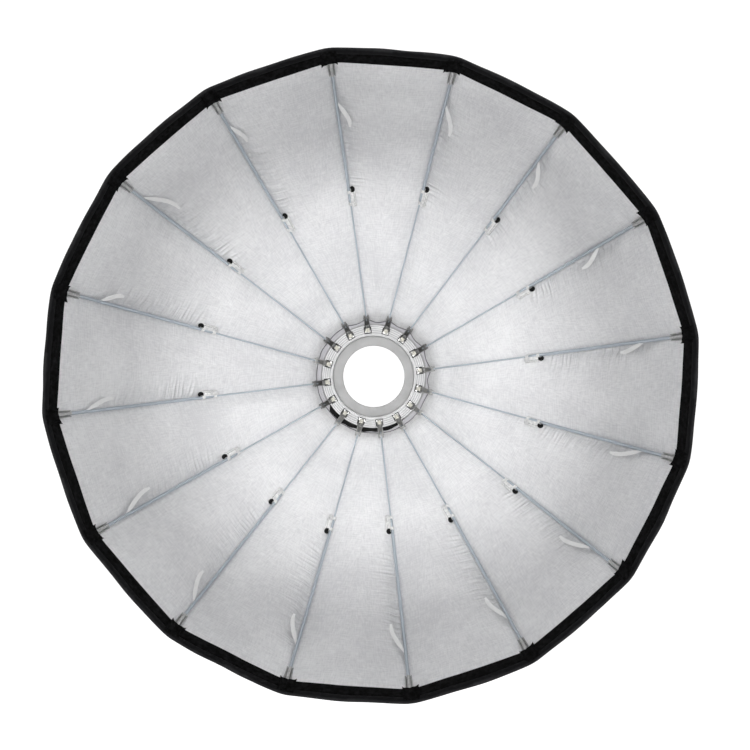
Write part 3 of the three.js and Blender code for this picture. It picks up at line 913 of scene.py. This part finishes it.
def sleeve(rib):
    """The rolled sleeve beside the joint of rod and tube: an open socket on one side, and two straps."""
    low, high = SLEEVE_PLACES[rib] - 0.0115, SLEEVE_PLACES[rib] + 0.0115
    wall, outer, aside, lift = 0.0005, 0.0043, -0.0052, -0.0008
    section = [(low, outer - 0.0004), (low + 0.0004, outer), (high - 0.0005, outer), (high, outer - 0.0003),
               (high, outer - wall), (low + 0.004, outer - wall)]

    def place(ring, turn):
        r, radius = section[ring]
        angle = 2 * math.pi * turn
        if ring < 4:
            for seam in (math.pi - 0.55, math.pi + 0.50):
                radius *= 1 - 0.16 * math.exp(-((angle - seam) / 0.13) ** 2)
        cut_back = 0.0030 * (0.5 - 0.5 * math.cos(angle)) if 2 <= ring <= 4 else 0
        return on_rib(rib, r - cut_back, lift + radius * math.cos(angle), aside + radius * math.sin(angle))

    parts = [pipe(40, (len(section) - 1, place), inside_from=3)]
    for strap_low in (low + 0.0010, high - 0.0062):
        strap_high = strap_low + 0.0040
        ring = [(strap_low, 0.0029), (strap_low, 0.0033), (strap_high, 0.0033), (strap_high, 0.0029)]

        def strap_place(step, turn, ring=ring):
            r, radius = ring[step % len(ring)]
            angle = 2 * math.pi * turn
            return on_rib(rib, r, radius * math.cos(angle), radius * math.sin(angle))

        parts.append(pipe(24, (len(ring), strap_place), closed_ends=False))
    return merged(*parts)


def ferrule(rib):
    """The tip ferrule: a pressed channel round the tube's end, with rolled edges and a clamp bar."""
    rows = 10
    outline = [(-0.0064, -0.0012), (-0.0060, -0.0029), (-0.0048, -0.0029), (-0.0040, -0.0012),
               (-0.0029, -0.0008), (-0.0023, -0.0034), (-0.0008, -0.0040), (0.0008, -0.0040),
               (0.0023, -0.0034), (0.0029, -0.0008),
               (0.0040, -0.0012), (0.0048, -0.0029), (0.0060, -0.0029), (0.0064, -0.0012), (0.0058, 0.0020),
               (0.0036, 0.0030), (-0.0036, 0.0030), (-0.0058, 0.0020)]

    def place(ring, turn):
        side, lift = outline[round(turn * len(outline)) % len(outline)]
        share = ring / rows
        r = FERRULE_R + (TIP_R - FERRULE_R) * share
        return on_rib(rib, r, lift, side * (0.78 + 0.12 * share + 0.06 * smooth(0.5, 1.0, share)))

    shell = pipe(len(outline), (rows, place))
    bar_low = FERRULE_R + 0.0022
    bar = rib_bar(rib, [(bar_low, 0.0030), (bar_low + 0.0004, 0.0036), (bar_low + 0.0028, 0.0036),
                        (bar_low + 0.0032, 0.0030)])
    bm = merged(shell, bar)
    for face in bm.faces:
        face.material_index = 2
    return bm


def build_fittings(rib, materials):
    """The sleeve and the ferrule on a rib's rods."""
    piece = new_piece(rib_name("rib_fittings", rib), merged(sleeve(rib), ferrule(rib)), materials, 35)
    finished(piece, rib_name("rib_body", rib), "steel")


def build_loop(rib, webbing):
    """A webbing keeper: sewn to the seam under the tube, it arches out over the cloth and is tacked down."""
    rows, columns = 26, 4
    high, low, reach = LOOP_PLACES[rib]

    def centre(y):
        r = high + (low - high) * y
        side = -0.0016 - (reach - 0.0016) * math.sin(1.75 * y) / math.sin(1.75)
        off_cloth = 1 - y * y
        tacked = cloth_point(rib, side / (2 * r * math.sin(HALF_PANEL)), r, -0.0014)
        return tacked.lerp(on_rib(rib, r, -0.0045 * math.sin(math.pi * y) + 0.0005, side), off_cloth)

    bm = grid(columns, rows)
    set_uv(bm, lambda x, y: (x * SIZES.webbing_width, y * 0.05))
    for vertex in bm.verts:
        x, y = vertex.co.x - 0.5, vertex.co.y
        direction = centre(y + 0.01) - centre(y - 0.01)
        across = direction.cross(Vector((0, 1, 0))).normalized()
        taper = (0.35 + 0.65 * smooth(-0.05, 0.30, y)) * (1 - 0.45 * smooth(0.75, 1.02, y))
        vertex.co = centre(y) + across * (x * SIZES.webbing_width * taper)
    bmesh.ops.recalc_face_normals(bm, faces=bm.faces[:])
    thicken(bm, 0.0010, 0)
    piece = new_piece(rib_name("keeper_loop", rib), bm, [webbing])
    finished(piece, rib_name("rib_body", rib), "webbing")


class SOFTBOX_OT_ribs(bpy.types.Operator):
    """Builds each rib's arm, rods, sleeve, ferrule and keeper loop"""

    bl_idname = "softbox.ribs"
    bl_label = "Ribs"

    def execute(self, context):
        rods = rib_steel()
        # A light and a dark copy of one arm steel: painted reflection of a bright and a dark studio, not two
        # finishes of the steel.
        arms = (sheet_steel("arm_steel_painted_light", 0.64, 0.42, 0.7), sheet_steel("arm_steel_painted_shade", 0.30, 0.40))
        sleeves = sheet_steel("sleeve_steel", 0.93, 0.40, 0.6)
        ferrules = sheet_steel("ferrule_steel", 0.55, 0.34)
        # The socket's inside is painted near black: painted shade for the dark inside of the hole.
        shadow = Finish("socket_painted_shadow", Base_Color=(0.004, 0.004, 0.004, 1), Roughness=1.0).material
        webbing = white_webbing()
        for rib in range(RIB_COUNT):
            build_arm(rib, arms[rib in PAINTED_SHADE_ARMS])
            build_rods(rib, rods)
            build_fittings(rib, (sleeves, shadow, ferrules))
            build_loop(rib, webbing)
        return {"FINISHED"}


def grooved(low_r, high_r, y, count, depth):
    """The corners of a flat ring face with fine turned grooves, from low_r to high_r."""
    corners = []
    pitch = (high_r - low_r) / count
    for i in range(count):
        r = low_r + pitch * (i + 0.5)
        corners += [(r - pitch * 0.16, y), (r - pitch * 0.13, y + depth), (r + pitch * 0.13, y + depth),
                    (r + pitch * 0.16, y)]
    return corners


def slotted(piece, width, inner_r, low_y, high_y):
    """Cuts a slot for every arm through a turned piece, with its edges broken."""
    cutter_parts = []
    for rib in range(RIB_COUNT):
        cutter = block((inner_r, low_y, -width / 2), (FLANGE_R + 0.01, high_y, width / 2))
        bmesh.ops.transform(cutter, matrix=hub_frame(rib), verts=cutter.verts[:])
        cutter_parts.append(cutter)
    cutter = new_piece("cutter", merged(*cutter_parts), [])
    cut = piece.modifiers.new("slots", "BOOLEAN")
    cut.operation, cut.object, cut.solver = "DIFFERENCE", cutter, "EXACT"
    soften = piece.modifiers.new("edges", "BEVEL")
    soften.width, soften.segments, soften.limit_method = 0.00025, 2, "ANGLE"
    soften.angle_limit = math.radians(50)
    evaluated = piece.evaluated_get(bpy.context.evaluated_depsgraph_get())
    mesh = bpy.data.meshes.new_from_object(evaluated)
    old = piece.data
    piece.modifiers.clear()
    piece.data = mesh
    mesh.name = piece.name
    bpy.data.meshes.remove(old)
    bpy.data.objects.remove(cutter)
    return piece


def build_insert(material):
    """The mounting insert: flat ring, round opening and the bayonet collar with its lugs behind."""
    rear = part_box("mount_insert")[1].y
    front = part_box("mount_insert")[0].y
    outline = [(HOLE_R, front + 0.0006), (HOLE_R + 0.0006, front)]
    outline += [(0.0642, front), (0.0646, front + 0.0004), (0.0650, front + 0.0004), (0.0654, front)]
    outline += [(INSERT_R - 0.0004, front), (INSERT_R, front + 0.0004)]
    outline += [(INSERT_R, -0.0004), (INSERT_R - 0.0004, 0)]
    outline += [(0.0532, 0), (0.0528, 0.0004), (0.0528, rear - 0.0005), (0.0523, rear), (0.0506, rear),
                (HOLE_R, rear - 0.0006)]
    parts = [spun(outline)]
    for lug in range(3):
        angle = 2 * math.pi * lug / 3
        steps = 10
        sector = bmesh.new()
        low, high = rear - 0.0032, rear - 0.0003
        corners = [(0.0522, low), (0.0558, low), (0.0558, high), (0.0522, high)]
        verts = [sector.verts.new((r, y, 0)) for r, y in corners]
        face = sector.faces.new(verts)
        bmesh.ops.rotate(sector, matrix=Matrix.Rotation(angle - math.pi / 12, 3, "Y"), verts=sector.verts[:])
        bmesh.ops.spin(sector, geom=[face, *face.edges, *face.verts], cent=(0, 0, 0), axis=(0, 1, 0),
                       angle=math.pi / 6, steps=steps)
        bmesh.ops.recalc_face_normals(sector, faces=sector.faces[:])
        parts.append(sector)
    piece = new_piece("mount_insert_ring", merged(*parts), [material], 30)
    finished(piece, "hub", "cast_aluminium", "mount_insert")


def build_hub_body(material):
    """The slotted drum and its rear flange."""
    front, floor = -0.025, -0.004
    outline = [(DRUM_INNER_R, front), (DRUM_R, front), (DRUM_R, floor), (FLANGE_R - 0.0005, floor),
               (FLANGE_R, floor + 0.0005), (FLANGE_R, -0.0006), (FLANGE_R - 0.0006, 0)]
    outline += grooved(0.0905, 0.0725, 0, 3, -0.0004)
    outline += [(0.0702, 0), (0.0700, -0.0002), (0.0700, floor), (DRUM_INNER_R, floor)]
    piece = new_piece("hub_casting", spun(outline, 128), [material], 30)
    slotted(piece, 2 * SLOT_HALF, SLOT_INNER_R, front - 0.01, -0.0045)
    finished(piece, "hub", "cast_aluminium", "hub_body")


def build_front_cover(material, groove):
    """The light ring on the front of the drum, with a rolled inner edge, turned lines and its windows."""
    outline = [(DRUM_INNER_R - 0.0003, COVER_BACK), (DRUM_INNER_R - 0.0003, COVER_FRONT - 0.0004)]
    outline += [(0.0660 + 0.0007 * (1 - math.cos(a)), COVER_FRONT - 0.0005 - 0.0006 * math.sin(a))
                for a in (math.pi * i / 6 for i in range(1, 6))]
    outline += [(0.0676, COVER_FRONT + 0.0001)]
    outline += grooved(0.0688, 0.0818, COVER_FRONT, 4, 0.0008)
    outline += [(DRUM_R - 0.0006, COVER_FRONT), (DRUM_R, COVER_FRONT + 0.0006), (DRUM_R, COVER_BACK)]
    piece = new_piece("front_cover", spun(outline, 192, COVER_FRONT + 0.0002), [material, groove], 30)
    slotted(piece, 2 * SLOT_HALF + 0.0002, SLOT_INNER_R - 0.0002, COVER_FRONT - 0.01, COVER_BACK + 0.01)
    finished(piece, "hub", "light_aluminium", "front_cover_ring")


def build_window_shadows(material):
    """A near-black frame round each window of the front cover: painted shadow for the shaded edges of the
    slots.
    """
    inner, mouth, reach, gap, width = 0.0692, 0.0706, 0.0800, SLOT_HALF, 0.0012
    corners = [(inner, -gap - width), (reach, -gap - width), (reach, -gap), (mouth, -gap), (mouth, gap),
               (reach, gap), (reach, gap + width), (inner, gap + width)]
    frames = []
    for rib in range(RIB_COUNT):
        bm = bmesh.new()
        face = bm.faces.new([bm.verts.new((r, COVER_FRONT - 0.0006, side)) for r, side in corners])
        made = bmesh.ops.extrude_face_region(bm, geom=[face], use_keep_orig=True)
        moved = [v for v in made["geom"] if isinstance(v, bmesh.types.BMVert)]
        bmesh.ops.translate(bm, vec=(0, 0.0009, 0), verts=moved)
        bmesh.ops.transform(bm, matrix=hub_frame(rib), verts=bm.verts[:])
        bmesh.ops.recalc_face_normals(bm, faces=bm.faces[:])
        frames.append(bm)
    piece = new_piece("painted_window_shadow", merged(*frames), [material], 30)
    finished(piece, "hub", "dark_aluminium")


def build_neck_fold(material):
    """The fold of black neck cloth that shows below the hub, between the front cover and the lining."""
    columns, rows = 140, 5
    low_angle, high_angle = math.radians(212), math.radians(306)
    bm = grid(columns, rows)
    set_uv(bm, lambda x, y: (x * 0.16, y * 0.006))
    for vertex in bm.verts:
        x, y = vertex.co.x, vertex.co.y
        ends = smooth(0, 0.08, x) * (1 - smooth(0.86, 1, x))
        width = 0.0008 + ends * (0.0070 - 0.0025 * x + 0.0024 * noise.noise(Vector((x * 11, 3, 1))))
        angle = low_angle + (high_angle - low_angle) * x
        height = -0.0079 - 0.0005 * math.sin(math.pi * y)
        vertex.co = turned(angle, 0.0839 + width * y, height, 0)
    bm.normal_update()
    if bm.faces[:][0].normal.y < 0:
        bmesh.ops.reverse_faces(bm, faces=bm.faces[:])
    thicken(bm, 0.0002, 0)
    piece = new_piece("neck_fold", bm, [material])
    finished(piece, "hub", "black_fabric")


def build_collar(material):
    """The darker collar ring round the drum."""
    low, high = 0.0855, 0.0958
    outline = [(low, -0.0043), (low, COLLAR_FRONT + 0.0004), (low + 0.0004, COLLAR_FRONT)]
    outline += grooved(0.0870, 0.0935, COLLAR_FRONT, 2, 0.0004)
    outline += [(high - 0.0020, COLLAR_FRONT), (high - 0.0006, COLLAR_FRONT + 0.0008),
                (high, COLLAR_FRONT + 0.0020), (high, -0.0043)]
    piece = new_piece("collar", spun(outline), [material], 30)
    finished(piece, "hub", "dark_aluminium", "collar_ring")


def build_neck_hem(material):
    """The corded hem behind the collar, a little uneven where the cord gathers it."""
    middle_r, middle_y = 0.0974, -0.0073
    outline = [(middle_r + 0.0012 * math.cos(a), middle_y + 0.0026 * math.sin(a))
               for a in (2 * math.pi * i / 14 for i in range(14))]
    bm = spun(outline, 240)
    for vertex in bm.verts:
        angle = math.atan2(vertex.co.z, vertex.co.x)
        gather = 1 + 0.0022 * math.sin(angle * 96) + 0.002 * noise.noise(vertex.co * 60)
        vertex.co.x *= gather
        vertex.co.z *= gather
    piece = new_piece("neck_hem_cord", bm, [material], 60)
    finished(piece, "hub", "black_fabric", "neck_hem")


def build_screws(material):
    """Socket-head screws that clamp the insert in the hub."""
    for index in range(3):
        node = f"insert_screw_{index + 1:02d}"
        low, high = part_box(node)
        middle = (low + high) / 2
        bm = bmesh.new()
        bmesh.ops.create_cone(bm, cap_ends=True, segments=32, radius1=0.003, radius2=0.003, depth=0.0016)
        top = max(bm.faces, key=lambda face: face.calc_center_median().z)
        bmesh.ops.inset_region(bm, faces=[top], thickness=0.0014)
        bmesh.ops.translate(bm, vec=(0, 0, -0.0009), verts=top.verts[:])
        edges = [e for e in bm.edges if e.calc_face_angle(0) > 1]
        bmesh.ops.bevel(bm, geom=edges, offset=0.0002, segments=2, profile=0.5, affect="EDGES", material=-1)
        bmesh.ops.rotate(bm, matrix=Matrix.Rotation(-math.pi / 2, 3, "X"), verts=bm.verts[:])
        bmesh.ops.translate(bm, vec=(middle.x, high.y - 0.0008, middle.z), verts=bm.verts[:])
        bmesh.ops.recalc_face_normals(bm, faces=bm.faces[:])
        piece = new_piece(f"insert_screw_head_{index + 1:02d}", bm, [material], 30)
        finished(piece, "hub", "steel", node)


def build_latch(rib, material):
    """A release latch: a stem in its slot and a ribbed thumb pad."""
    stem = block((0.0718, -0.0252, -0.0031), (0.0750, -0.0090, 0.0031), 0.0004)
    pad = block((0.0718, -0.0276, -0.0033), (0.0782, -0.0246, 0.0033), 0.0006, 3)
    parts = [stem, pad]
    for ridge in range(3):
        r = 0.0733 + 0.0017 * ridge
        parts.append(block((r - 0.0004, -0.0280, -0.0024), (r + 0.0004, -0.0272, 0.0024), 0.0003))
    bm = merged(*parts)
    bmesh.ops.transform(bm, matrix=hub_frame(rib), verts=bm.verts[:])
    bmesh.ops.recalc_face_normals(bm, faces=bm.faces[:])
    piece = new_piece(rib_name("latch_pad", rib), bm, [material], 35)
    finished(piece, rib_name("latch_body", rib), "latch_plastic", rib_name("release_latch", rib))


class SOFTBOX_OT_hub(bpy.types.Operator):
    """Builds the insert, hub, cover, collar, hem, screws and latches"""

    bl_idname = "softbox.hub"
    bl_label = "Hub"

    def execute(self, context):
        cast = turned_metal("cast_aluminium", (0.45, 0.45, 0.45), 0.50, 0.0011, metallic=0.55, lines=0.15)
        light = turned_metal("light_aluminium", (0.81, 0.81, 0.81), 0.42, 0.0009, metallic=0.4, lines=0.5)
        dark = turned_metal("dark_aluminium", (0.57, 0.56, 0.59), 0.48, 0.0012, metallic=0.5, lines=0.3)
        steel = sheet_steel("fitting_steel", 0.55, 0.3)
        build_insert(cast)
        build_hub_body(cast)
        # The groove bottoms take a darker copy of the aluminium: painted shade in the turned grooves.
        groove = turned_metal("groove_painted_shade", (0.56, 0.56, 0.57), 0.5, 0.0009, metallic=0.4, lines=0.2)
        build_front_cover(light, groove)
        # Painted shadow round the windows: a near-black sheet where the slot edges fall in shade.
        build_window_shadows(Finish("painted_window_shadow", Base_Color=(0.012, 0.012, 0.012, 1), Roughness=0.6).material)
        build_neck_fold(Finish("neck_cloth", Base_Color=(0.006, 0.006, 0.006, 1), Roughness=0.9).material)
        build_collar(dark)
        build_neck_hem(hem_binding())
        build_screws(steel)
        for node in ("hinge_ring", "latch_spring_ring"):
            frame["nodes"][node].data.materials.clear()
            frame["nodes"][node].data.materials.append(steel)
        plastic = latch_plastic()
        for rib in range(RIB_COUNT):
            build_latch(rib, plastic)
        return {"FINISHED"}


# ---------------------------------------------------------------- stage


def area_light(name, place, target, size, power, colour=(1, 1, 1)):
    data = bpy.data.lights.new(name, "AREA")
    data.shape, data.size, data.energy, data.color = "DISK", size, power, colour
    light = bpy.data.objects.new(name, data)
    bpy.context.scene.collection.objects.link(light)
    light.location = place
    light.rotation_mode = "QUATERNION"
    light.rotation_quaternion = (Vector(target) - Vector(place)).to_track_quat("-Z", "Y")
    return light


def seen_and_unseen(tree, seen, unseen):
    """One strength for what the camera sees directly, and another for the light that it gives."""
    path = tree.nodes.new("ShaderNodeLightPath")
    blend = tree.nodes.new("ShaderNodeMapRange")
    tree.links.new(path.outputs["Is Camera Ray"], blend.inputs["Value"])
    blend.inputs["To Min"].default_value = unseen
    blend.inputs["To Max"].default_value = seen
    return blend.outputs["Result"]


def spot_light(name, place, target, width_deg, power):
    data = bpy.data.lights.new(name, "SPOT")
    data.spot_size, data.spot_blend = math.radians(width_deg), 1
    data.energy, data.shadow_soft_size = power, 0.05
    light = bpy.data.objects.new(name, data)
    bpy.context.scene.collection.objects.link(light)
    light.location = place
    light.rotation_mode = "QUATERNION"
    light.rotation_quaternion = (Vector(target) - Vector(place)).to_track_quat("-Z", "Y")


class SOFTBOX_OT_stage(bpy.types.Operator):
    """Sets the camera, the white floor and backdrop, and the soft lights"""

    bl_idname = "softbox.stage"
    bl_label = "Stage"

    def execute(self, context):
        scene = context.scene
        rim_y = rib_height(TIP_R)
        data = bpy.data.cameras.new("camera")
        data.lens = data.sensor_width / 2 / (HALF_VIEW / CAMERA_DISTANCE)
        camera = bpy.data.objects.new("camera", data)
        scene.collection.objects.link(camera)
        camera.location = (0.0333, rim_y - CAMERA_DISTANCE, -0.008)
        target = Vector((0.0069, rim_y, 0.0007))
        camera.rotation_mode = "QUATERNION"
        roll = Quaternion((0, 0, 1), math.radians(-0.2))
        camera.rotation_quaternion = (target - camera.location).to_track_quat("-Z", "Y") @ roll
        scene.camera = camera

        white = Finish("paper", Roughness=0.9)
        grain = white.noise(white.coordinates(), 30, 3, 0.5)
        white.set("Base Color", white.ramp(grain, (0.93, 0.93, 0.93), (0.96, 0.96, 0.96)))
        white.shader.inputs["Emission Color"].default_value = (1, 1, 1, 1)
        white.set("Emission Strength", seen_and_unseen(white.tree, 0.95, 0.06))
        floor = grid(8, 8)
        place = Matrix.Translation((-FLOOR_SIDE / 2, -FLOOR_SIDE / 2, FLOOR_Z))
        place @= Matrix.Diagonal((FLOOR_SIDE, FLOOR_SIDE, 1, 1))
        bmesh.ops.transform(floor, matrix=place, verts=floor.verts[:])
        new_piece("paper_floor", floor, [white.material])

        world = bpy.data.worlds.new("studio")
        scene.world = world
        world.use_nodes = True
        background = world.node_tree.nodes["Background"]
        background.inputs["Color"].default_value = (1, 1, 1, 1)
        world.node_tree.links.new(seen_and_unseen(world.node_tree, 1.1, 0.3), background.inputs["Strength"])
        area_light("front_soft", (0, -3.2, 0.05), (0, 0, 0), 0.9, 19.5)
        area_light("top_soft", (0, -1.7, 1.7), (0, 0, 0), 0.3, 4)
        spot_light("hub_spot", (0, -3.1, 0), (0, 0, 0), 5.5, 52)
        for panel in range(RIB_COUNT):
            glow = turned(FIRST_ANGLE + RIB_STEP * (panel + 0.64), 0.250, -0.13, 0)
            spot_light(f"front_spot_{panel + 1:02d}", (glow.x * 0.5, -3.1, glow.z * 0.5), glow, 6, 125)
        return {"FINISHED"}


# ---------------------------------------------------------------- add-on


class SOFTBOX_PT_sidebar(bpy.types.Panel):
    """Lists the softbox's settings and builders"""

    bl_idname = "SOFTBOX_PT_sidebar"
    bl_label = "Parabolic softbox"
    bl_space_type = "VIEW_3D"
    bl_region_type = "UI"
    bl_category = "Softbox"

    def draw(self, context):
        layout = self.layout
        for group in (context.scene.softbox_sizes, context.scene.softbox_colours):
            for name in group.__annotations__:
                layout.prop(group, name)
        for operator in BUILDERS:
            layout.operator(operator.bl_idname)


BUILDERS = (SOFTBOX_OT_stage, SOFTBOX_OT_canopy, SOFTBOX_OT_rim, SOFTBOX_OT_ribs, SOFTBOX_OT_hub)
CLASSES = (SoftboxSizes, SoftboxColours, *BUILDERS, SOFTBOX_PT_sidebar)


def register():
    for cls in CLASSES:
        bpy.utils.register_class(cls)
    bpy.types.Scene.softbox_sizes = PointerProperty(type=SoftboxSizes)
    bpy.types.Scene.softbox_colours = PointerProperty(type=SoftboxColours)


def unregister():
    del bpy.types.Scene.softbox_colours
    del bpy.types.Scene.softbox_sizes
    for cls in reversed(CLASSES):
        bpy.utils.unregister_class(cls)


def main():
    global SIZES, COLOURS
    register()
    SIZES, COLOURS = bpy.context.scene.softbox_sizes, bpy.context.scene.softbox_colours
    bpy.context.scene.view_settings.view_transform = "Standard"
    for operator in ("stage", "canopy", "rim", "ribs", "hub"):
        getattr(bpy.ops.softbox, operator)()


if __name__ == "__main__":
    main()
